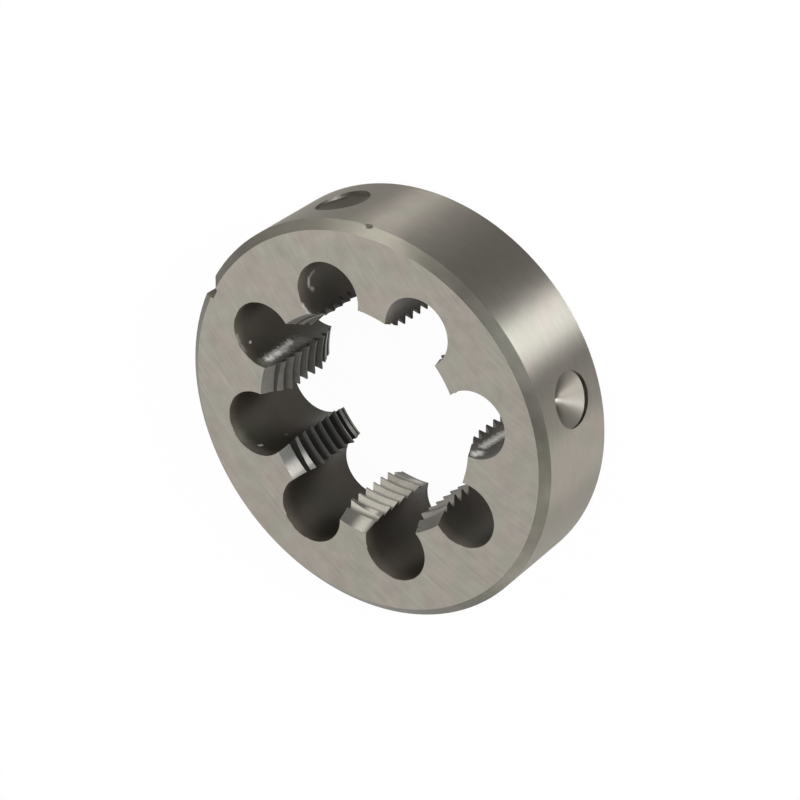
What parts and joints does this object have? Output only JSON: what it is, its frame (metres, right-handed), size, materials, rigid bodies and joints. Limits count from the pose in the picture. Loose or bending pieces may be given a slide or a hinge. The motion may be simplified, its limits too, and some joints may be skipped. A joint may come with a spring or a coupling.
{
  "type": "threading die",
  "caption": "Round steel threading die: chip holes around a threaded bore, locking dimples and a notch in its rim.",
  "frame": {"origin": "centre of the back face", "axes": "+Z along the axis of the bore, towards the front, lead-in face; +X through a locking dimple"},
  "size_m": [0.075, 0.075, 0.02],
  "materials": {
    "tool_steel": "ground faces, turned rim, dark bored holes"
  },
  "bodies": {
    "root": {"die_body": "tool_steel"}
  },
  "joints": []
}
